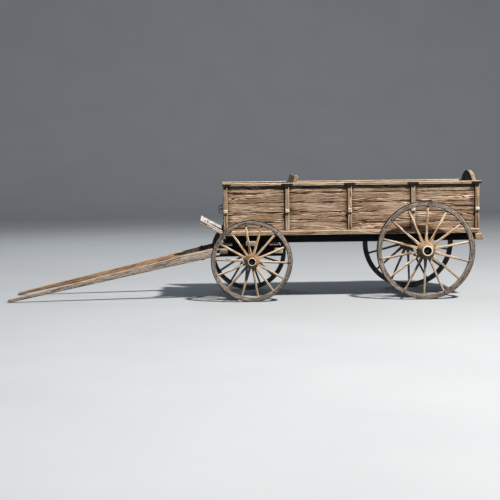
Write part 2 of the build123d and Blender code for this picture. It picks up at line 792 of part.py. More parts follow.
def box_iron_nodes():
    """Tee brackets on the rail, lashing cleats on the posts, staples for the tie rings, and bolt heads."""
    brackets = []
    heads = []
    cleats = []
    bar_bottom = rail_bottom + bracket_rise
    bar_top = bar_bottom + bracket_bar
    bar_face = rail_face + plate_thickness
    leg_face = post_face + plate_thickness
    leg = bracket_leg_width / 2
    for place in post_places:
        x0 = max(place - bracket_width / 2, box_front)
        x1 = min(place + bracket_width / 2, box_rear + rail_tail)
        bracket = slab(x0, x1, rail_face, bar_face, bar_bottom, bar_top)
        bracket += slab(place - leg, place + leg, rail_face, bar_face, rail_bottom, bar_bottom)
        bracket += slab(
            place - leg, place + leg, post_face, bar_face, rail_bottom - plate_thickness, rail_bottom
        )
        bracket += slab(
            place - leg, place + leg, post_face, leg_face, rail_bottom - bracket_leg, rail_bottom
        )
        if place == post_places[0]:
            bracket += slab(
                x0 - plate_thickness, x0, rail_face - bracket_return, bar_face, bar_bottom, bar_top
            )
        brackets.append(bracket)
        head_z = bar_bottom + bracket_bar / 2
        for head_x in ((x0 + place - leg) / 2, (x1 + place + leg) / 2):
            heads.append(rod_y(head_x, head_z, rivet_radius, bar_face, bar_face + rivet_height))
        leg_z = rail_bottom - bracket_rivet_share * bracket_leg
        heads.append(rod_y(place, leg_z, rivet_radius, leg_face, leg_face + rivet_height))

        low = sill_top + cleat_above_sill
        outline = Polyline(
            (post_face, low),
            (post_face + cleat_foot_share * cleat_depth, low),
            (post_face + cleat_depth, low + cleat_slope_share * cleat_height),
            (post_face + cleat_depth, low + cleat_height - cleat_chamfer),
            (post_face + cleat_depth - cleat_chamfer, low + cleat_height),
            (post_face, low + cleat_height),
            close=True,
        )
        cleats.append(end_profile(outline, place - cleat_width / 2, place + cleat_width / 2))

    middle = footboard_half_width - foot_rail_width / 2
    width = (footboard_length + board_gap) / plank_count
    slope = Rot(0, footboard_rise, 0)
    for number in range(plank_count):
        along = width * (number + 0.5)
        x, z = footboard_point(along, 0)
        head = Cylinder(bolt_radius, rivet_height)
        heads.append(Pos(x, middle, z) * slope * Pos(0, 0, rivet_height / 2) * head)
        x, z = footboard_point(along, -plank_thickness - foot_rail_height)
        nut = Cylinder(bolt_radius, 2 * rivet_height)
        heads.append(Pos(x, middle, z) * slope * Pos(0, 0, -rivet_height) * nut)
    return {
        "rail_brackets": both_sides(brackets),
        "lashing_cleats": both_sides(cleats),
        "frame_bolts": both_sides(heads),
    }


def tie_ring_nodes():
    """A ring hanging in the eye of a staple on the front of each front corner post."""
    post_front = post_places[0] - post_width / 2
    y = (board_face + post_face) / 2
    outer = tie_ring_radius + tie_ring_wire
    x = post_front - tie_ring_ahead - outer
    top = sill_top + tie_ring_above_sill
    ring = Pos(x, y, top - tie_ring_radius) * Rot(90, 0, 0) * Torus(tie_ring_radius, tie_ring_wire)
    eye = Pos(x, y, top) * Rot(0, 90, 0) * Torus(tie_eye_radius, tie_eye_wire)
    shank_z = top + tie_eye_radius
    shank_front = x - staple_shank_radius
    shank_length = post_front - shank_front
    shank = Pos((shank_front + post_front) / 2, y, shank_z) * Rot(0, 90, 0)
    shank *= Cylinder(staple_shank_radius, shank_length)
    plate = slab(
        post_front - staple_plate_thickness, post_front, y - staple_plate_half_width,
        y + staple_plate_half_width, shank_z - staple_plate_below, shank_z + staple_plate_above,
    )
    staple = eye + shank + plate
    return {
        "ring_staples": both_sides([staple]),
        "tie_ring_right": [ring],
        "tie_ring_left": [mirror(ring, about=Plane.XZ)],
    }


# ---------------------------------------------------------------- turntable and front carriage


def futchell_bars():
    """The two long bars that pass through the front bed and carry the cross bars."""
    y0 = futchell_from_middle - futchell_width / 2
    bar = slab(splinter_bar_x[0], sway_bar_x[1], y0, y0 + futchell_width, futchell_bottom, futchell_top)
    return both_sides([bar])


def ring_bearers():
    """Blocks on the long bars, between the bed and the cross bars, that the lower ring rests on."""
    half_bed = front_bed_width / 2
    y0 = futchell_from_middle - ring_bearer_width / 2
    y1 = y0 + ring_bearer_width
    ahead = slab(splinter_bar_x[1], -half_bed, y0, y1, futchell_top, front_bed_top)
    behind = slab(half_bed, sway_bar_x[0], y0, y1, futchell_top, front_bed_top)
    return both_sides([ahead, behind])


def flat_ring(z0):
    """A flat iron ring of the turntable, standing on the given height."""
    ring = rod_z(0, 0, ring_outer, z0, z0 + ring_thickness)
    return ring - rod_z(0, 0, ring_inner, z0, z0 + ring_thickness)


def turntable_nodes():
    """Transom, slats, two rings and kingpin: the upper half is fixed to the body, the lower half steers."""
    half = transom_width / 2
    transom = slab(
        -half, half, -transom_half_length, transom_half_length, upper_ring_top, upper_ring_top + transom_height
    )
    transom = chamfer(transom.edges().filter_by(Axis.Y).group_by(Axis.Z)[-1], transom_chamfer)
    transom -= both_sides([slab(-half, half, beam_inner, beam_outer, body_level, sill_bottom)])
    transom -= rod_z(0, 0, kingpin_radius, upper_ring_top, upper_ring_top + transom_height)
    slat = slab(slat_inner, slat_outer, -beam_outer, beam_outer, upper_ring_top, body_level)
    kingpin_foot = front_axle_top - front_axle_square
    transom_top = upper_ring_top + transom_height
    nut_top = kingpin_foot - kingpin_nut_gap
    nut_bottom = nut_top - kingpin_nut_height
    kingpin = rod_z(0, 0, kingpin_radius, nut_bottom, transom_top + joint_overlap)
    kingpin += rod_z(0, 0, kingpin_head, transom_top, transom_top + kingpin_head_height)
    kingpin += rod_z(0, 0, kingpin_radius + kingpin_nut_wall, nut_bottom, nut_top)
    splinter_bar = slab(*splinter_bar_x, -bar_half_length, bar_half_length, futchell_top, front_bed_top)
    sway_bar = slab(*sway_bar_x, -bar_half_length, bar_half_length, futchell_top, front_bed_top)
    return {
        "turntable_beams": [transom, slat, mirror(slat, about=Plane.YZ)],
        "upper_ring": [flat_ring(upper_ring_top - ring_thickness)],
        "lower_ring": [flat_ring(front_bed_top)],
        "kingpin": [kingpin],
        "futchells": futchell_bars() + ring_bearers(),
        "carriage_bars": [
            chamfer(bar.edges().filter_by(Axis.Y), bar_chamfer) for bar in (splinter_bar, sway_bar)
        ],
    }


# ---------------------------------------------------------------- shafts


def shaft_nodes():
    """Two tapered shafts joined by a board, hinged to the splinter bar by iron eyes.

    They are made along +X from the hinge, with +Z square to their upper edge, and then tipped until
    their tips rest on the ground."""
    slope = shaft_slope()
    frame = Plane(
        origin=(shaft_hinge_x, 0, shaft_hinge_z),
        x_dir=(-cos(slope), 0, -sin(slope)),
        z_dir=(-sin(slope), 0, cos(slope)),
    ).location
    top = shaft_root_height / 2
    y0 = shaft_from_middle - shaft_width / 2
    y1 = shaft_from_middle + shaft_width / 2
    tip_bottom = top - shaft_tip_height
    middle = (shaft_taper_start + shaft_reach) / 2
    outline = Polyline(
        (shaft_taper_start, -top),
        (shaft_butt, -top),
        (shaft_butt, top),
        (shaft_reach, top),
        (shaft_reach, tip_bottom),
        (shaft_reach - 2 * shaft_tip_round, tip_bottom),
    ) + ThreePointArc(
        (shaft_reach - 2 * shaft_tip_round, tip_bottom),
        (middle, top - shaft_middle_height),
        (shaft_taper_start, -top),
    )
    shaft = side_profile(outline, y0, y1)
    shaft = fillet(shaft.edges().filter_by(Axis.Y).group_by(Axis.X)[-1], shaft_tip_round)

    strap_bolt = rod_z(strap_bolt_at, shaft_from_middle, strap_bolt_radius, -top, top)
    shaft -= strap_bolt

    board_low = top - crossboard_thickness
    board_face_line = Polyline(
        (crossboard_front, y0), (crossboard_rear, y0), (crossboard_rear, -y0), (crossboard_front, -y0)
    ) + ThreePointArc((crossboard_front, -y0), (crossboard_waist, 0), (crossboard_front, y0))
    crossboard = Pos(0, 0, board_low) * extrude(make_face(board_face_line), crossboard_thickness)

    eye_y0 = shaft_from_middle - hinge_eye_width / 2
    eye_y1 = shaft_from_middle + hinge_eye_width / 2
    strap_y0 = shaft_from_middle - strap_width / 2
    strap_y1 = shaft_from_middle + strap_width / 2
    plate_rear = shaft_butt - butt_plate_thickness
    irons = slab(plate_rear, shaft_butt, y0, y1, -top - strap_thickness, top + strap_thickness)
    irons += rod_y(0, 0, hinge_eye_radius, eye_y0, eye_y1)
    neck = hinge_neck_share * hinge_eye_radius
    irons += slab(0, plate_rear + joint_overlap, eye_y0, eye_y1, -neck, neck)
    irons -= rod_y(0, 0, hinge_pin_radius + running_clearance, eye_y0, eye_y1)
    for low, high in ((top, top + strap_thickness), (-top - strap_thickness, -top)):
        irons += slab(plate_rear, shaft_butt + strap_length, strap_y0, strap_y1, low, high)
    bolt_end = top + strap_thickness
    head_end = bolt_end + strap_bolt_head_height
    for side in (-1, 1):
        irons += rod_z(
            strap_bolt_at, shaft_from_middle, strap_bolt_head_radius, side * bolt_end, side * head_end
        )
    irons += strap_bolt

    # the frame's +X points forwards, so its +Y is the wagon's left-hand side
    left_shaft = frame * shaft
    return {
        "shaft_left": [left_shaft],
        "shaft_right": [mirror(left_shaft, about=Plane.XZ)],
        "shaft_crossboard": [frame * crossboard],
        "shaft_irons": both_sides([frame * irons]),
    }


def hinge_nodes():
    """Cheek plates on the splinter bar with the pins that the shafts turn on."""
    x, z = shaft_hinge_x, shaft_hinge_z
    gap = hinge_eye_width / 2 + side_clearance
    bar_face = splinter_bar_x[0]
    pieces = []
    pin_half = gap + hinge_plate + hinge_pin_past_cheek
    pin = rod_y(x, z, hinge_pin_radius, shaft_from_middle - pin_half, shaft_from_middle + pin_half)
    for side in (-1, 1):
        y0 = shaft_from_middle + side * gap
        y1 = shaft_from_middle + side * (gap + hinge_plate)
        cheek = rod_y(x, z, hinge_eye_radius, y0, y1)
        cheek += slab(x, bar_face, y0, y1, z - hinge_eye_radius, z + hinge_eye_radius)
        pieces.append(cheek - pin)
    return {"shaft_hinges": both_sides([pin] + pieces)}


# ---------------------------------------------------------------- write the parts


def all_nodes():
    nodes = {}
    for made in (
        sides_nodes(),
        floor_nodes(),
        tailboard_nodes(),
        seat_nodes(),
        footboard_nodes(),
        box_iron_nodes(),
        tie_ring_nodes(),
        axle_nodes(),
        turntable_nodes(),
        shaft_nodes(),
        hinge_nodes(),
        wheel_nodes(),
    ):
        nodes.update(made)
    return nodes


def write_parts():
    nodes = all_nodes()
    solids = {name: [solid for piece in pieces for solid in piece.solids()] for name, pieces in nodes.items()}
    overall = Compound([solid for group in solids.values() for solid in group]).bounding_box()
    middle = (overall.min.X + overall.max.X) / 2
    os.makedirs("parts", exist_ok=True)
    for name, group in solids.items():
        export_step(Pos(-middle, 0, 0) * Compound(group), f"parts/{name}.step")
    print(f"front axle at x {-middle:.6f} z {front_radius:.6f}")
    print(f"rear axle at x {wheelbase - middle:.6f} z {rear_radius:.6f}")
    print(f"shaft hinge at x {shaft_hinge_x - middle:.6f} z {shaft_hinge_z:.6f}")
    size = overall.size
    print(f"overall {size.X:.1f} x {size.Y:.1f} x {size.Z:.1f}, lowest z {overall.min.Z:.3f}")


write_parts()
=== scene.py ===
import json
import math
import random

import bmesh
import bpy
from mathutils import Matrix, Vector, noise


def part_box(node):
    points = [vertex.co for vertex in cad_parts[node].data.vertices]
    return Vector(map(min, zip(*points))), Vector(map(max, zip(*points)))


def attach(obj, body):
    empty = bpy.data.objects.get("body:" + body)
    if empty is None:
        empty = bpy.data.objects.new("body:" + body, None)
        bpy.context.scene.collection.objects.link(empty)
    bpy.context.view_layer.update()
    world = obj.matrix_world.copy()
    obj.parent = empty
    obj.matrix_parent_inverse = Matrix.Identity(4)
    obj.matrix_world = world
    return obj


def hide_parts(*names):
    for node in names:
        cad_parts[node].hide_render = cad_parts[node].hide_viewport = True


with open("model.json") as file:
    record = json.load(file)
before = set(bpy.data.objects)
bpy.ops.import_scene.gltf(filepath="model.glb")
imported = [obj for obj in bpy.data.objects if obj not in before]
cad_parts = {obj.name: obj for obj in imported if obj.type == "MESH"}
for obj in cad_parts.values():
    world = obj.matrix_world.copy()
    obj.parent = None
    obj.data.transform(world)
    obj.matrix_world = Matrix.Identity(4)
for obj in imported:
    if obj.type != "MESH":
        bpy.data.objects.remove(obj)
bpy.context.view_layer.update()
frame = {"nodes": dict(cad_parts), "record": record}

# ---------------------------------------------------------------- the wagon's own sizes, in metres

WHEELS = ("front_left", "front_right", "rear_left", "rear_right")
WORN_EDGE = 0.004            # rounding of a sawn timber's edges
SHARP = math.radians(28)     # a corner sharper than this gets rounded
FLAT = math.radians(1.0)     # faces that turn less than this are one face
SMOOTH = math.radians(35)    # a bend that turns less than this at each edge is shaded round
TURNED = math.radians(30)    # the same for wood that was turned on a lathe
SAWN_FACE = 0.0004           # a face larger than this many square metres is a flat one
MERGE = 1e-5                 # corners closer than this are one corner
WANDER = 6.0                 # how quickly a hand-sawn face wanders, in turns a metre
JOINTS = {joint["name"]: joint for joint in frame["record"]["behaviour"]["joints"]}
RNG = random.Random(11)
noise.seed_set(11)           # sawn faces wander the same way in every run

AXLE = {name: Vector(JOINTS[f"{name}_wheel_spin"]["pos_m"]) for name in WHEELS}
KINGPIN = Vector(JOINTS["steering"]["pos_m"])


def span(node):
    """Lowest and highest corner of a CAD node, as vectors."""
    low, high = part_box(node)
    return Vector(low), Vector(high)


# ---------------------------------------------------------------- nodes and shader maths


def add_node(tree, kind, settings=None, sockets=None):
    """A node of a type, its settings first and then the values or links of its sockets."""
    node = tree.nodes.new(kind)
    for key, value in (settings or {}).items():
        setattr(node, key, value)
    for key, value in (sockets or {}).items():
        if isinstance(value, Number):
            value = value.socket
        if isinstance(value, bpy.types.NodeSocket):
            tree.links.new(value, node.inputs[key])
        else:
            node.inputs[key].default_value = value
    return node


class Number:
    """A number that varies over a surface. Arithmetic on it adds Math nodes to its material."""

    def __init__(self, tree, socket):
        self.tree = tree
        self.socket = socket

    def math(self, operation, *others, first=None):
        """A Math node on this number and the others, or on first and this number."""
        values = (self, *others) if first is None else (first, self)
        node = add_node(self.tree, "ShaderNodeMath", {"operation": operation}, dict(enumerate(values)))
        return Number(self.tree, node.outputs[0])

    def __add__(self, other):
        return self.math("ADD", other)

    __radd__ = __add__

    def __sub__(self, other):
        return self.math("SUBTRACT", other)

    def __rsub__(self, other):
        return self.math("SUBTRACT", first=other)

    def __mul__(self, other):
        return self.math("MULTIPLY", other)

    __rmul__ = __mul__

    def __truediv__(self, other):
        return self.math("DIVIDE", other)

    def __rtruediv__(self, other):
        return self.math("DIVIDE", first=other)

    def __neg__(self):
        return self.math("MULTIPLY", -1.0)

    def __abs__(self):
        return self.math("ABSOLUTE")

    def low(self, other):
        return self.math("MINIMUM", other)

    def high(self, other):
        return self.math("MAXIMUM", other)

    def step(self, start, end):
        """0 at start, 1 at end, smooth between."""
        node = add_node(self.tree, "ShaderNodeMapRange", {"interpolation_type": "SMOOTHSTEP"},
                        {"Value": self, "From Min": start, "From Max": end})
        return Number(self.tree, node.outputs[0])


class Finish:
    """A material being built: a Principled shader and the nodes that feed it."""

    def __init__(self, name, roughness=0.8, metallic=0.0, specular=0.3):
        self.material = bpy.data.materials.new(name)
        self.material.use_nodes = True
        self.tree = self.material.node_tree
        self.shader = self.tree.nodes["Principled BSDF"]
        self.shader.inputs["Roughness"].default_value = roughness
        self.shader.inputs["Metallic"].default_value = metallic
        self.shader.inputs["Specular IOR Level"].default_value = specular

    def node(self, kind, settings=None, **sockets):
        """A node of this material, with its sockets given by name."""
        return add_node(self.tree, kind, settings, sockets)

    def number(self, socket):
        return Number(self.tree, socket)

    def attribute(self, name):
        return self.node("ShaderNodeAttribute", {"attribute_name": name})

    def parts(self, vector):
        node = self.node("ShaderNodeSeparateXYZ", Vector=vector)
        return [self.number(socket) for socket in node.outputs]

    def vector(self, x, y, z):
        return self.node("ShaderNodeCombineXYZ", X=x, Y=y, Z=z).outputs[0]

    def noise(self, vector, scale=1.0, detail=3.0, roughness=0.55):
        node = self.node("ShaderNodeTexNoise", Vector=vector, Scale=scale, Detail=detail, Roughness=roughness)
        return self.number(node.outputs["Fac"])

    def mix(self, amount, first, second):
        """A colour between two colours. Each may be a tuple or a socket."""
        first, second = ((*value, 1.0) if isinstance(value, tuple) else value for value in (first, second))
        node = add_node(self.tree, "ShaderNodeMix", {"data_type": "RGBA", "clamp_factor": True},
                        {0: amount, 6: first, 7: second})
        return node.outputs[2]

    def finish(self, colour, roughness=None, height=None, distance=0.004, strength=1.0):
        self.tree.links.new(colour, self.shader.inputs["Base Color"])
        if roughness is not None:
            self.tree.links.new(roughness.socket, self.shader.inputs["Roughness"])
        if height is not None:
            bump = self.node("ShaderNodeBump", Height=height, Distance=distance, Strength=strength)
            self.tree.links.new(bump.outputs[0], self.shader.inputs["Normal"])
        return self.material


# ---------------------------------------------------------------- materials


def wood(name, dark, middle, pale, ring=0.015, streak=95.0, relief=0.004, edge=0.6, edge_width=0.010,
         dry=0.6, seam=0.0, knots=1.0, speckle=0.25, patchy=0.6, post_shade=(), sheltered=None):
    """Weathered wood that follows each timber's own grain.

    Every timber carries its place along and across its grain, its half sizes and a number of its own.
    ring is the spacing of the year rings, streak how many fibres lie across a metre, relief the depth of
    the raised grain, edge how pale the worn edges are, dry how much bleached wood lies on the ridges,
    seam how dark the joints along a board's edges are, speckle how strong the fine fibres show and patchy how
    unevenly the timber has bleached. post_shade is the places of the posts along the wagon. Beside each post
    the boards are darkened as painted shade, with some dark wash. sheltered is the browner pair of colours
    that handling has left on upper and inner faces."""
    made = Finish(name, roughness=0.85, specular=0.2)
    deepest = tuple(value * 0.3 for value in dark)
    along, across, deep = made.parts(made.attribute("grain").outputs["Vector"])
    half_along, half_across, half_deep = made.parts(made.attribute("half").outputs["Vector"])
    own = made.number(made.attribute("piece").outputs["Fac"])
    shifted = along + own * 41.0
    warp = made.noise(made.vector(shifted * 6.5, across * 26.0, deep * 26.0), detail=3.0, roughness=0.6)

    # Knots push the rings aside and show as dark eyes.
    cell = made.node(
        "ShaderNodeTexVoronoi", {"feature": "F1"},
        Vector=made.vector(shifted * 1.6, across * 7.0 + own * 9.0, deep * 3.0), Scale=1.0, Randomness=1.0,
    )
    eye_distance = made.number(cell.outputs["Distance"])
    push = (1.0 - eye_distance.step(0.02, 0.40)) * knots
    eye = (1.0 - eye_distance.step(0.030, 0.075)) * knots

    # Year rings run along the timber, drift slowly across it and part round the knots.
    drift = made.noise(made.vector(shifted * 1.4, across * 10.0, deep * 10.0 + own * 6.0), detail=2.0)
    rings = (across + deep * 0.7) / ring + drift * 5.5 + warp * 1.5 + push * 2.4
    wave = (rings * math.tau).math("SINE") * 0.5 + 0.5
    fibre = made.noise(made.vector(shifted * 14.0, across * 420.0, deep * 420.0), detail=2.0)
    coarse = made.noise(made.vector(shifted * 4.5, across * streak, deep * streak), detail=3.0, roughness=0.6)
    split = streak * 0.48
    crack_line = made.noise(made.vector(shifted * 1.9, across * split + 5.0, deep * split), detail=2.0)
    crack = crack_line.step(0.62, 0.68)
    patch = made.noise(made.vector(shifted * 2.2, across * 9.0, deep * 9.0 + own * 3.0), detail=3.0)

    height = wave * 0.40 + coarse * 0.60 + (fibre - 0.5) * speckle - crack * 0.7 - eye * 0.4
    raised = (height + (patch - 0.5) * patchy * 0.6).step(0.28, 0.62)
    bleached = (height + (patch - 0.5) * patchy).step(0.50, 0.78)
    groove = (1.0 - height.step(0.18, 0.40)).high(crack)

    if sheltered:
        _, side, upper = made.parts(made.node("ShaderNodeNewGeometry").outputs["Normal"])
        away = made.parts(made.node("ShaderNodeTexCoord").outputs["Object"])[1]
        handled = (-side * away * 10.0).step(0.8, 1.6).high(upper.step(0.35, 0.60))
        dark = made.mix(handled, dark, sheltered[0])
        middle = made.mix(handled, middle, sheltered[1])
        bleached = bleached * (1.0 - handled * 0.55)
    tint = (own * 53.7).math("SINE") * 0.5 + 0.5
    colour = made.mix(raised, dark, middle)
    colour = made.mix(tint * 0.18, colour, dark)
    colour = made.mix(bleached * dry, colour, pale)
    colour = made.mix(groove * 0.65, colour, deepest)
    colour = made.mix(eye * 0.75, colour, deepest)

    # Distance to the nearest edge of the timber: the middle one of the distances to its three pairs of faces.
    a = half_along - abs(along)
    b = half_across - abs(across)
    c = half_deep - abs(deep)
    to_edge = a.low(b).high(a.high(b).low(c))
    worn = 1.0 - (to_edge + (coarse - 0.5) * edge_width * 1.2).step(0.001, edge_width)
    colour = made.mix(worn * edge, colour, pale)
    if seam:
        joint = 1.0 - (b + (warp - 0.5) * 0.010).step(0.0015, 0.0075)
        colour = made.mix(joint * seam, colour, tuple(value * 0.25 for value in deepest))
        height = height - joint * 0.6
    # Painted shade: the boards darken beside each post, where the posts' shadows fall, with some dark wash.
    if post_shade:
        place = made.parts(made.node("ShaderNodeTexCoord").outputs["Object"])[0]
        near = abs(place - post_shade[0])
        for post in post_shade[1:]:
            near = near.low(abs(place - post))
        post_shade_mask = 1.0 - (near + (warp - 0.5) * 0.05).step(0.025, 0.105)
        colour = made.mix(post_shade_mask * 0.55, colour, deepest)
    return made.finish(colour, 0.74 + fibre * 0.2, height, relief)


def turned_wood(name, dark, middle, pale, shade_and_grease):
    """Wood turned on a lathe, with fine tool rings. Its tone marks the pale lip, partly a painted highlight
    on the lit rim and partly pale end grain, and the near-black mouth and groove bottoms, painted shade with
    some grease.
    """
    made = Finish(name, roughness=0.6, specular=0.3)
    along, across, deep = made.parts(made.attribute("grain").outputs["Vector"])
    own = made.number(made.attribute("piece").outputs["Fac"])
    tone = made.number(made.attribute("tone").outputs["Fac"])
    warp = made.noise(made.vector(along * 8.0, across * 11.0, deep * 11.0 + own * 5.0), detail=3.0)
    fibre = made.noise(made.vector(along * 22.0, across * 160.0, deep * 160.0), detail=3.0)
    tool = made.noise(made.vector(along * 420.0, own, 0.0), detail=1.0)
    check = made.noise(made.vector(along * 4.0 + own, across * 55.0, deep * 55.0), detail=2.0)
    check = check.step(0.62, 0.69)
    height = fibre * 0.6 + warp * 0.3 + tool * 0.3 - check * 0.8
    colour = made.mix((height + (warp - 0.5) * 0.5).step(0.30, 0.75), dark, middle)
    colour = made.mix((fibre * 0.6 + warp * 0.5).step(0.55, 0.80) * 0.7, colour, pale)
    colour = made.mix(check * 0.8, colour, tuple(value * 0.3 for value in dark))
    # Painted highlight on the lip, partly pale end grain, and painted shade in the mouth and the grooves,
    # partly grease.
    colour = made.mix(tone.step(0.25, 0.75) * 0.85, colour, pale)
    colour = made.mix((-tone).step(0.25, 0.75), colour, shade_and_grease)
    return made.finish(colour, 0.50 + fibre * 0.3, height, 0.0022)


def iron(name, tone, rust, bright, roughness=0.55):
    """Forged iron: blackened, with rust in its pores and bright worn spots."""
    made = Finish(name, roughness=roughness, metallic=0.4, specular=0.4)
    place = made.node("ShaderNodeTexCoord").outputs["Object"]
    cloud = made.noise(place, scale=9.0, detail=4.0)
    pits = made.noise(place, scale=170.0, detail=3.0, roughness=0.7)
    scale = made.noise(place, scale=45.0, detail=3.0)
    colour = made.mix((cloud + pits - 0.55).step(0.30, 0.72) * 0.75, tone, rust)
    colour = made.mix((scale * 0.6 + pits * 0.4).step(0.60, 0.78) * 0.6, colour, bright)
    return made.finish(colour, 0.42 + pits * 0.3 + cloud * 0.12, pits * 0.6 + scale * 0.4, 0.0016)


def post_places(gap=0.2):
    """Places of the side posts along the wagon. Corners further apart than gap belong to two posts."""
    points = sorted(vertex.co.x for vertex in frame["nodes"]["side_posts"].data.vertices)
    groups = [[points[0]]]
    for x in points[1:]:
        if x - groups[-1][-1] > gap:
            groups.append([])
        groups[-1].append(x)
    return [(group[0] + group[-1]) / 2 for group in groups]


# The side boards are darkened beside the posts as painted shade.
BOARD = wood("weathered_board", (0.095, 0.045, 0.021), (0.42, 0.250, 0.142), (0.93, 0.76, 0.58),
             relief=0.007, edge=0.10, dry=0.75, seam=0.94, post_shade=post_places())
FLOOR_BOARD = wood("trodden_floor_board", (0.110, 0.066, 0.040), (0.36, 0.245, 0.160), (0.78, 0.66, 0.52),
                   relief=0.007, edge=0.10, dry=0.65, seam=0.94)
FRAME = wood("worn_frame_timber", (0.12, 0.060, 0.030), (0.37, 0.235, 0.140), (0.90, 0.74, 0.55),
             relief=0.004, edge=0.80, dry=0.60, knots=0.4)
# The underframe timber is nearly black: painted shade for the shadow under the box, with some grime.
UNDERFRAME_SHADE = wood("underframe_shade_and_grime_timber", (0.006, 0.006, 0.006), (0.024, 0.021, 0.019), (0.12, 0.105, 0.09),
             relief=0.004, edge=0.25, dry=0.30, knots=0.5)
TURNTABLE = wood("turntable_timber", (0.10, 0.070, 0.045), (0.30, 0.23, 0.16), (0.80, 0.70, 0.54),
                 relief=0.003, edge=0.8, dry=0.6, knots=0.3)
BLEACHED = wood("bleached_timber", (0.10, 0.062, 0.042), (0.40, 0.300, 0.225), (0.88, 0.80, 0.71),
                relief=0.004, edge=0.5, dry=0.70, knots=0.15, streak=150.0, ring=0.013, speckle=1.2,
                sheltered=((0.13, 0.058, 0.024), (0.50, 0.29, 0.145)))
PALE_PLANK = wood("footboard_plank", (0.34, 0.30, 0.28), (0.62, 0.56, 0.53), (0.95, 0.90, 0.86),
                  relief=0.0012, edge=0.3, dry=0.6, seam=0.6, knots=0.0, streak=160.0, speckle=0.3,
                  patchy=0.2)
CLEAT = wood("worn_cleat_wood", (0.22, 0.16, 0.10), (0.70, 0.58, 0.44), (0.98, 0.90, 0.76),
             relief=0.002, edge=0.9, dry=0.8, knots=0.0, streak=160.0)
SPOKE = wood("shaved_spoke_wood", (0.19, 0.095, 0.042), (0.70, 0.49, 0.30), (0.98, 0.88, 0.72),
             relief=0.0012, edge=0.3, edge_width=0.006, dry=0.85, knots=0.0, streak=170.0)
# The nave's last colour, nearly black, paints shade in its mouth and grooves, with some grease.
NAVE = turned_wood("turned_nave_wood", (0.060, 0.030, 0.014), (0.42, 0.250, 0.130), (0.92, 0.81, 0.65),
                   (0.005, 0.004, 0.004))
FELLOE = wood("sawn_felloe_wood", (0.032, 0.024, 0.019), (0.250, 0.190, 0.150), (0.84, 0.74, 0.63),
              relief=0.004, edge=0.30, edge_width=0.006, dry=0.65, knots=0.0, streak=260.0, ring=0.007,
              speckle=1.8, patchy=0.15)
BLACK_IRON = iron("blackened_iron", (0.008, 0.008, 0.010), (0.030, 0.017, 0.010), (0.075, 0.070, 0.068))
TYRE_IRON = iron("worn_tyre_iron", (0.016, 0.014, 0.013), (0.055, 0.034, 0.022), (0.24, 0.21, 0.18))


# ---------------------------------------------------------------- timbers


def new_piece(name, mesh, material):
    """A finished piece at the origin, with one material."""
    piece = bpy.data.objects.new(name, mesh)
    bpy.context.scene.collection.objects.link(piece)
    mesh.materials.clear()
    mesh.materials.append(material)
    return piece


def stand_for(piece, node, body):
    """Let a finished piece move with a body in place of a CAD node, which is hidden."""
    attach(piece, body)
    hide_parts(node)


def shade_smooth(mesh, angle=SMOOTH, flat_over=math.inf):
    """Smooth shading, except on faces with more than a given area."""
    for polygon in mesh.polygons:
        polygon.use_smooth = polygon.area < flat_over
    mesh.set_sharp_from_angle(angle=angle)


def islands(bm):
    """The separate solids of a mesh, as lists of vertices."""
    seen = set()
    found = []
    for first in bm.verts:
        if first in seen:
            continue
        seen.add(first)
        group = [first]
        for vert in group:
            for edge in vert.link_edges:
                other = edge.other_vert(vert)
                if other not in seen:
                    seen.add(other)
                    group.append(other)
        found.append(group)
    return found


def straight(axis):
    """Grain of timbers that lie along one axis: a point's place along, across and deep in the wood."""
    order = {"X": (0, 2, 1), "Y": (1, 0, 2), "Z": (2, 0, 1)}[axis]
    return lambda middle: lambda point: Vector([point[i] for i in order])


def sloping(angle):
    """Grain of timbers that lie in the X-Z plane and drop towards the front by an angle."""
    c, s = math.cos(angle), math.sin(angle)
    turn = Matrix(((c, 0, s), (-s, 0, c), (0, 1, 0)))
    return lambda middle: lambda point: turn @ point


def radial(centre):
    """Grain of spokes: along each spoke, outwards from the axle."""
    def of_island(middle):
        out = Vector((middle.x - centre.x, 0, middle.z - centre.z)).normalized()
        side = Vector((-out.z, 0, out.x))
        return lambda point: Vector(((point - centre).dot(out), (point - centre).dot(side), point.y))
    return of_island


def round_rim(centre):
    """Grain of felloes: along the rim, with each piece's own middle as its start."""
    def of_island(middle):
        out = Vector((middle.x - centre.x, 0, middle.z - centre.z)).normalized()
        side = Vector((-out.z, 0, out.x))
        reach = (middle - centre).length

        def place(point):
            arm = Vector((point.x - centre.x, 0, point.z - centre.z))
            angle = math.atan2(arm.dot(side), arm.dot(out))
            return Vector((angle * reach, arm.length, point.y))
        return place
    return of_island


def uneven(point, seed, reach):
    """A small shift that leaves a timber looking hand-sawn."""
    where = point * WANDER + Vector((seed * 31.0, seed * 17.0, seed * 7.0))
    return noise.noise_vector(where) * reach


def slices(node, axis, spacing=0.09):
    """Planes that cut a node into short lengths along an axis."""
    normal = Vector([1.0 if letter == axis else 0.0 for letter in "XYZ"])
    start, end = (corner.dot(normal) for corner in span(node))
    count = int((end - start) / spacing)
    return [(normal * (start + (end - start) * step / (count + 1)), normal) for step in range(1, count + 1)]


def sectors(centre, count=24):
    """Planes through a wheel's axle that cut its rim into short arcs."""
    turns = [math.pi * (step + 0.5) / count for step in range(count)]
    return [(centre, Vector((math.cos(turn), 0, math.sin(turn)))) for turn in turns]


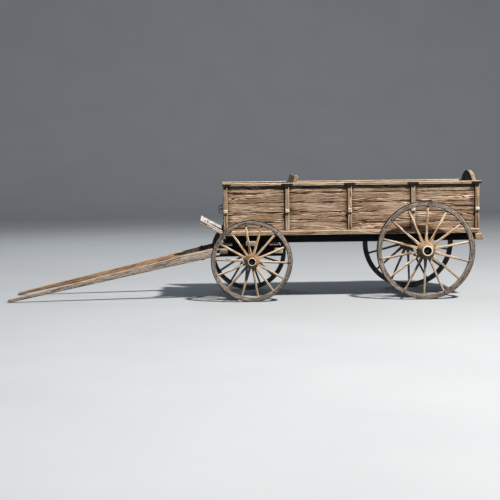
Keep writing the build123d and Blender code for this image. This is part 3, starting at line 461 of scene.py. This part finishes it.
def worn_copy(name, node, material, grain, edge=WORN_EDGE, segments=2, body="box", cuts=(), wobble=0.0,
              keep=None):
    """A CAD timber with worn round edges, a slightly uneven face and its own grain coordinates.

    cuts are planes that divide the timber, so that its faces can wander and its grain can bend. keep picks
    the solids of the node that are taken over."""
    bm = bmesh.new()
    bm.from_mesh(frame["nodes"][node].data)
    bmesh.ops.remove_doubles(bm, verts=bm.verts, dist=MERGE)
    if keep:
        dropped = [vert for group in islands(bm) if not keep(group) for vert in group]
        bmesh.ops.delete(bm, geom=dropped, context="VERTS")
    bmesh.ops.dissolve_limit(bm, angle_limit=FLAT, verts=bm.verts, edges=bm.edges)
    solids = []
    for group in islands(bm):
        middle = sum((vert.co for vert in group), Vector()) / len(group)
        place = grain(middle)
        local = [place(vert.co) for vert in group]
        low = Vector([min(point[i] for point in local) for i in range(3)])
        high = Vector([max(point[i] for point in local) for i in range(3)])
        solids.append((place, low, high, RNG.random()))
    number = bm.verts.layers.int.new("solid")
    for index, group in enumerate(islands(bm)):
        for vert in group:
            vert[number] = index
    sharp = [e for e in bm.edges if len(e.link_faces) == 2 and e.calc_face_angle(0.0) > SHARP]
    if edge:
        bmesh.ops.bevel(bm, geom=sharp, offset=edge, segments=segments, affect="EDGES", profile=0.5,
                        clamp_overlap=True)
    for point, normal in cuts:
        geometry = bm.verts[:] + bm.edges[:] + bm.faces[:]
        bmesh.ops.bisect_plane(bm, geom=geometry, plane_co=point, plane_no=normal)
    lowest, highest = span(node)
    grain_layer = bm.verts.layers.float_vector.new("grain")
    half_layer = bm.verts.layers.float_vector.new("half")
    own_layer = bm.verts.layers.float.new("piece")
    for group in islands(bm):
        numbers = [vert[number] for vert in group]
        place, low, high, value = solids[max(set(numbers), key=numbers.count)]
        for vert in group:
            vert[grain_layer] = place(vert.co) - (low + high) / 2
            vert[half_layer] = (high - low) / 2
            vert[own_layer] = value
            if wobble:
                moved = vert.co + uneven(vert.co, value, wobble)
                vert.co = [min(max(moved[i], lowest[i]), highest[i]) for i in range(3)]
    bm.verts.layers.int.remove(number)
    mesh = bpy.data.meshes.new(name)
    bm.to_mesh(mesh)
    bm.free()
    shade_smooth(mesh, flat_over=math.inf if wobble else SAWN_FACE)
    stand_for(new_piece(name, mesh, material), node, body)


def assign(node, material):
    """Give a CAD node that stays its finish."""
    slots = frame["nodes"][node].data.materials
    slots.clear()
    slots.append(material)


def sloped_edge(node):
    """Slope, below level towards the front, of a node's longest straight edge in the X-Z plane."""
    data = frame["nodes"][node].data
    ends = max(
        ([data.vertices[i].co for i in edge.vertices] for edge in data.edges),
        key=lambda pair: (pair[0] - pair[1]).length if abs(pair[0].y - pair[1].y) < 1e-4 else 0.0,
    )
    low, high = sorted(ends, key=lambda point: point.x)
    return math.atan2(high.z - low.z, high.x - low.x)


def sawn(name, node, material, axis, wobble=0.0, **more):
    """Timbers that lie along an axis. Where their faces wander they are cut into short lengths."""
    worn_copy(f"worn_{name}", node, material, straight(axis), cuts=slices(node, axis) if wobble else (),
              wobble=wobble, **more)


def build_box():
    for node, material in (("side_boards", BOARD), ("floor_boards", FLOOR_BOARD)):
        sawn(node, node, material, "X", wobble=0.0016, edge=0.0035)
    for node in ("side_sills", "top_rails"):
        sawn(node, node, FRAME, "X", wobble=0.0022, edge=0.005)
    sawn("side_posts", "side_posts", FRAME, "Z", wobble=0.0020, edge=0.005)
    sawn("headboard", "headboard", FLOOR_BOARD, "Y", wobble=0.0018)
    sawn("tailboard", "tailboard_boards", FLOOR_BOARD, "Y", wobble=0.0012, body="tailboard")
    sawn("battens", "tailboard_battens", FRAME, "Z", body="tailboard")
    sawn("guides", "tailboard_guides", FRAME, "Z")
    sawn("cleats", "lashing_cleats", CLEAT, "X", edge=0.006)
    sawn("seat_board", "seat_board", FRAME, "Y", wobble=0.0016)
    sawn("seat_back", "seat_back", FRAME, "Y", wobble=0.0016, edge=0.006)
    sawn("seat_bearers", "seat_bearers", FRAME, "X")
    sawn("main_beams", "main_beams", UNDERFRAME_SHADE, "X", wobble=0.002)
    sawn("bearers", "cross_bearers", UNDERFRAME_SHADE, "Y")
    sawn("tail_beam", "tail_beam", FRAME, "Y", wobble=0.0018, edge=0.006)
    sawn("footboard_planks", "footboard_planks", PALE_PLANK, "Y", wobble=0.0012, edge=0.004)
    slope = sloped_edge("footboard_rails")
    worn_copy("worn_footboard_rails", "footboard_rails", FRAME, sloping(slope), edge=0.004)


def build_gear():
    sawn("rear_bed", "rear_axle_bed", UNDERFRAME_SHADE, "Y")
    sawn("turntable", "turntable_beams", TURNTABLE, "Y", edge=0.006)
    sawn("front_bed", "front_axle_bed", UNDERFRAME_SHADE, "Y", body="front_carriage")
    sawn("futchells", "futchells", UNDERFRAME_SHADE, "X", body="front_carriage")
    sawn("cross_bars", "carriage_bars", TURNTABLE, "Y", body="front_carriage")
    slope = sloped_edge("shaft_left")
    for node in ("shaft_left", "shaft_right"):
        worn_copy(f"worn_{node}", node, BLEACHED, sloping(slope), edge=0.008, segments=3, body="shafts")
    sawn("crossboard", "shaft_crossboard", BLEACHED, "Y", body="shafts")


# ---------------------------------------------------------------- wheels


def lathe(name, outline, centre, nose, tones, steps=72):
    """A closed ring turned about a wheel's axle. outline is a closed list of (radius, distance from the
    middle of the rim towards the nose), and tones gives each of its points a tone."""
    bm = bmesh.new()
    tone_layer = bm.verts.layers.float.new("tone")
    grain_layer = bm.verts.layers.float_vector.new("grain")
    own_layer = bm.verts.layers.float.new("piece")
    own = RNG.random()
    rings = []
    for step in range(steps):
        angle = math.tau * step / steps
        c, s = math.cos(angle), math.sin(angle)
        ring = []
        for (radius, out), tone in zip(outline, tones):
            vert = bm.verts.new((centre.x + radius * c, centre.y + nose * out, centre.z + radius * s))
            vert[tone_layer] = tone
            vert[grain_layer] = Vector((out, radius * c, radius * s))
            vert[own_layer] = own
            ring.append(vert)
        rings.append(ring)
    for step, ring in enumerate(rings):
        after = rings[(step + 1) % steps]
        for place in range(len(ring)):
            other = (place + 1) % len(ring)
            bm.faces.new((ring[place], ring[other], after[other], after[place]))
    bmesh.ops.recalc_face_normals(bm, faces=bm.faces)
    mesh = bpy.data.meshes.new(name)
    bm.to_mesh(mesh)
    bm.free()
    shade_smooth(mesh, TURNED)
    return mesh


def nave_outline(node, centre, nose, same=1e-3):
    """Outline of a nave with softened corners and two turned grooves, measured from its CAD solid.

    Radii and distances that differ by less than same are taken to be equal."""
    points = [vertex.co for vertex in frame["nodes"][node].data.vertices]
    profile = sorted({
        (round(math.hypot(point.x - centre.x, point.z - centre.z), 4), round(nose * (point.y - centre.y), 4))
        for point in points
    })
    outs = sorted({out for _, out in profile})
    back, front = outs[0], outs[-1]
    nose_lip = [r for r, out in profile if abs(out - front) < same]
    mouth, lip = min(nose_lip), max(nose_lip)
    bore = profile[0][0]
    belly = max(r for r, _ in profile)
    belt = max(out for r, out in profile if abs(r - belly) < same)
    back_end = [r for r, out in profile if abs(out - back) < same]
    hoop = [(r, out) for r, out in profile if back + same < out < -belt - same and r > max(back_end)]
    nose_ring = [(r, out) for r, out in profile if belt + same < out < front - same and r > lip]
    floor = min(out for r, out in profile if abs(r - mouth) < same and out < front - same)
    step_low, step_high = nose_ring[0], nose_ring[-1]
    line = [(bore, back, 0), (max(back_end), back, 0)]
    line += [(r, out, 0) for r, out in sorted(hoop, key=lambda item: item[1])]
    line += [(belly, -belt, 0), (belly, belt, 0)]
    slope = (step_high[0] - belly) / (step_high[1] - belt)
    # The bottoms of the grooves get a low tone, which paints shade in them.
    groove, groove_shade = 0.0045, -0.35
    for share in (0.34, 0.60):
        out = belt + (step_high[1] - belt) * share
        radius = belly + slope * (out - belt)
        line += [(radius - slope * groove, out - groove, 0), (radius - groove, out, groove_shade),
                 (radius + slope * groove, out + groove, 0)]
    line += [(r, out, 0) for r, out in sorted(nose_ring, key=lambda item: item[1])]
    # The lip gets the highest tone, a painted highlight with pale end grain, and the mouth the lowest,
    # painted shade with some grease.
    rim = 0.0015
    line += [(lip + 0.004, front - 0.006, 0), (lip + 0.002, front - 0.0045, 1), (lip - rim, front - rim, 1),
             (lip - 2 * rim, front, 1), (mouth + 2 * rim, front, 1), (mouth, front - 2 * rim, 1),
             (mouth, front - 3 * rim, -1), (mouth, floor, -1), (bore, floor, -1)]
    return [(r, out) for r, out, _ in line], [tone for _, _, tone in line]


def rivet_heads(name, places, radius, height, material, facets=12, rings=8, smallest=0.90):
    """Domed heads on a list of (point, direction) places, made by a node tree with its own sizes.

    smallest is the size of the smallest head as a share of the largest."""
    tree = bpy.data.node_groups.new(f"{name}_tree", "GeometryNodeTree")
    for label, kind in (("Places", "Geometry"), ("Head radius", "Float"), ("Head height", "Float"),
                        ("Seed", "Int")):
        tree.interface.new_socket(label, in_out="INPUT", socket_type=f"NodeSocket{kind}")
    tree.interface.new_socket("Heads", in_out="OUTPUT", socket_type="NodeSocketGeometry")
    given = add_node(tree, "NodeGroupInput").outputs
    dome = add_node(tree, "GeometryNodeMeshUVSphere",
                    sockets={"Segments": facets, "Rings": rings, "Radius": 1.0})
    size = add_node(tree, "ShaderNodeCombineXYZ", sockets={
        "X": given["Head radius"], "Y": given["Head radius"], "Z": given["Head height"]})
    facing = add_node(tree, "GeometryNodeInputNamedAttribute", {"data_type": "FLOAT_VECTOR"},
                      {"Name": "facing"})
    turn = add_node(tree, "FunctionNodeAlignRotationToVector", {"axis": "Z"},
                    {"Vector": facing.outputs["Attribute"]})
    spread = add_node(tree, "FunctionNodeRandomValue", {"data_type": "FLOAT"},
                      {2: smallest, 3: 1.0, "Seed": given["Seed"]})
    grown = add_node(tree, "ShaderNodeVectorMath", {"operation": "SCALE"},
                     {0: size.outputs[0], "Scale": spread.outputs[1]})
    heads = add_node(tree, "GeometryNodeInstanceOnPoints", sockets={
        "Points": given["Places"], "Instance": dome.outputs["Mesh"],
        "Rotation": turn.outputs["Rotation"], "Scale": grown.outputs[0]})
    smooth = add_node(tree, "GeometryNodeSetShadeSmooth", sockets={"Geometry": heads.outputs[0]})
    real = add_node(tree, "GeometryNodeRealizeInstances", sockets={0: smooth.outputs[0]})
    finish = add_node(tree, "GeometryNodeSetMaterial",
                      sockets={"Geometry": real.outputs[0], "Material": material})
    add_node(tree, "NodeGroupOutput", sockets={0: finish.outputs[0]})

    seeds = bpy.data.meshes.new(f"{name}_places")
    seeds.from_pydata([point for point, _ in places], [], [])
    facing_layer = seeds.attributes.new("facing", "FLOAT_VECTOR", "POINT")
    for item, (_, direction) in zip(facing_layer.data, places):
        item.vector = direction
    holder = bpy.data.objects.new(f"{name}_holder", seeds)
    bpy.context.scene.collection.objects.link(holder)
    modifier = holder.modifiers.new("heads", "NODES")
    modifier.node_group = tree
    values = {"Head radius": radius, "Head height": height, "Seed": 5}
    for item in tree.interface.items_tree:
        if item.name in values:
            modifier[item.identifier] = values[item.name]
    bpy.context.view_layer.update()
    made = holder.evaluated_get(bpy.context.evaluated_depsgraph_get())
    mesh = bpy.data.meshes.new_from_object(made)
    mesh.name = name
    bpy.data.objects.remove(holder)
    return new_piece(name, mesh, material)


def cap_places(node, outward):
    """Base point, direction, radius and height of each round head in a node, from its two flat caps.

    outward(normal, middle, height) is larger for the cap that faces away from the wood."""
    bm = bmesh.new()
    bm.from_mesh(frame["nodes"][node].data)
    bmesh.ops.remove_doubles(bm, verts=bm.verts, dist=MERGE)
    bmesh.ops.dissolve_limit(bm, angle_limit=FLAT, verts=bm.verts, edges=bm.edges)
    found = []
    for group in islands(bm):
        faces = dict.fromkeys(face for vert in group for face in vert.link_faces)
        caps = sorted(faces, key=lambda face: -face.calc_area())[:2]
        middles = [cap.calc_center_median() for cap in caps]
        radius = (caps[0].verts[0].co - middles[0]).length
        height = (middles[0] - middles[1]).length
        centre = (middles[0] + middles[1]) / 2
        pair = sorted(zip(caps, middles), key=lambda item: outward(item[0].normal, centre, height))
        base, top = pair[0][1], pair[1][1]
        found.append((base, (top - base).normalized(), radius, height))
    bm.free()
    return found


def build_wheels(rim_zone=0.6):
    """Irons further from the axle than rim_zone, as a share of the farthest corner, are rim rivets."""
    for wheel in WHEELS:
        body = f"{wheel}_wheel"
        irons = f"{wheel}_irons"
        centre = AXLE[wheel]
        nose = -1.0 if centre.y < 0 else 1.0
        worn_copy(f"{wheel}_felloe_wood", f"{wheel}_felloes", FELLOE, round_rim(centre), edge=0.0022,
                  body=body, cuts=sectors(centre))
        worn_copy(f"{wheel}_spoke_wood", f"{wheel}_spokes", SPOKE, radial(centre), edge=0.0012, body=body)
        name = f"{wheel}_nave_wood"
        outline, tones = nave_outline(f"{wheel}_nave", centre, nose)
        nave = new_piece(name, lathe(name, outline, centre, nose, tones), NAVE)
        stand_for(nave, f"{wheel}_nave", body)
        assign(f"{wheel}_tyre", TYRE_IRON)

        low, _ = span(irons)
        rim = rim_zone * (low - centre).length

        def is_rivet(group):
            return min((vert.co - centre).length for vert in group) > rim

        worn_copy(f"{wheel}_axle_box_and_hoop", irons, BLACK_IRON, straight("Y"), edge=0, body=body,
                  keep=lambda group: not is_rivet(group))
        heads = cap_places(irons, lambda normal, middle, height: normal.y * (middle.y - centre.y))
        rivets = [head for head in heads if (head[0] - centre).length > rim]
        piece = rivet_heads(f"{wheel}_rim_rivets", [head[:2] for head in rivets], rivets[0][2],
                            rivets[0][3], BLACK_IRON)
        stand_for(piece, irons, body)


def build_ironwork(sideways=0.9, rivet_height=0.006):
    """The heads that face more than sideways along Y are the brackets' rivets. Of the others, those lower
    than rivet_height sit on top of their plank and the higher ones hang under it."""
    for node in ("rail_brackets", "ring_staples", "rear_axle", "rear_axle_fastenings", "upper_ring",
                 "kingpin", "front_axle", "front_axle_fastenings", "lower_ring", "shaft_hinges",
                 "shaft_irons", "tie_ring_left", "tie_ring_right"):
        assign(node, BLACK_IRON)

    def outward(normal, middle, height):
        if abs(normal.y) > sideways:
            return normal.y * middle.y
        return normal.z if height < rivet_height else -normal.z

    heads = cap_places("frame_bolts", outward)
    for name, group in (("bracket_rivets", [head for head in heads if abs(head[1].y) > sideways]),
                        ("footboard_bolts", [head for head in heads if abs(head[1].y) <= sideways])):
        piece = rivet_heads(name, [head[:2] for head in group], group[0][2], group[0][3], BLACK_IRON)
        stand_for(piece, "frame_bolts", "box")


# ---------------------------------------------------------------- camera, light and floor


def set_camera():
    """A long lens level with the top of the box, square to the left-hand side."""
    distance = 17.283       # from the wagon's middle line
    ahead = 0.4914          # in front of the front axle
    height = 1.9494
    yaw, pitch, roll = 0.0285, -0.0764, -0.0121
    sensor_mm, lens_mm, far = 36.0, 90.72, 200.0
    forward = Vector((math.sin(yaw) * math.cos(pitch), math.cos(yaw) * math.cos(pitch), math.sin(pitch)))
    level = Vector((math.cos(yaw), -math.sin(yaw), 0.0))
    upward = level.cross(forward)
    right = level * math.cos(roll) + upward * math.sin(roll)
    up = upward * math.cos(roll) - level * math.sin(roll)
    data = bpy.data.cameras.new("camera")
    data.sensor_width = sensor_mm
    data.lens = lens_mm
    data.clip_end = far
    camera = bpy.data.objects.new("camera", data)
    turn = Matrix((right, up, -forward)).transposed()
    camera.matrix_world = Matrix.Translation((KINGPIN.x - ahead, -distance, height)) @ turn.to_4x4()
    bpy.context.scene.collection.objects.link(camera)
    bpy.context.scene.camera = camera


def add_area(name, place, aim, size, power, colour):
    """A square lamp at a place, turned towards an aim. size is in metres and power in watts."""
    data = bpy.data.lights.new(name, "AREA")
    data.shape = "SQUARE"
    data.size = size
    data.energy = power
    data.color = colour
    light = bpy.data.objects.new(name, data)
    light.location = place
    light.rotation_euler = (Vector(aim) - Vector(place)).to_track_quat("-Z", "Y").to_euler()
    bpy.context.scene.collection.objects.link(light)


def set_light():
    """One warm key from high up behind the rear wheel, a weak cool fill, and one for the far side."""
    middle = Vector((0.0, 0.0, 0.8))
    toward_key, key_distance = Vector((0.78, -1.0, 1.55)).normalized(), 22.0
    add_area("key", middle + toward_key * key_distance, middle, size=1.6, power=8500,
             colour=(1.0, 0.96, 0.91))
    add_area("fill", (-9.0, -13.0, 5.0), middle, size=9.0, power=40, colour=(0.80, 0.90, 1.0))
    add_area("back_fill", (-3.0, 11.0, 9.5), middle, size=6.0, power=420, colour=(0.90, 0.95, 1.0))
    world = bpy.data.worlds.new("studio")
    world.use_nodes = True
    sky = world.node_tree.nodes["Background"].inputs
    sky["Color"].default_value = (0.60, 0.78, 1.0, 1)
    sky["Strength"].default_value = 0.11
    bpy.context.scene.world = world


def set_floor():
    """A pale floor that sweeps up far behind the wagon. It throws no light back up under the wagon."""
    half, near, back, radius, high, steps = 60.0, 50.0, 22.0, 12.0, 40.0, 16
    turns = [math.pi / 2 * step / steps for step in range(1, steps + 1)]
    line = [(-near, 0.0), (back, 0.0)]
    line += [(back + radius * math.sin(turn), radius - radius * math.cos(turn)) for turn in turns]
    line.append((back + radius, high))
    verts = [(side * half, y, z) for y, z in line for side in (-1, 1)]
    faces = [(2 * i, 2 * i + 1, 2 * i + 3, 2 * i + 2) for i in range(len(line) - 1)]
    mesh = bpy.data.meshes.new("floor")
    mesh.from_pydata(verts, [], faces)
    shade_smooth(mesh)
    made = Finish("pale_floor", roughness=0.8, specular=0.1)
    place = made.node("ShaderNodeTexCoord").outputs["Object"]
    cloud = made.noise(place, scale=0.6, detail=3.0)
    made.finish(made.mix(cloud, (0.40, 0.42, 0.44), (0.46, 0.48, 0.50)))
    floor = new_piece("floor", mesh, made.material)
    floor.visible_diffuse = False


build_box()
build_gear()
build_wheels()
build_ironwork()
set_camera()
set_light()
set_floor()
bpy.context.scene.view_settings.view_transform = "Standard"
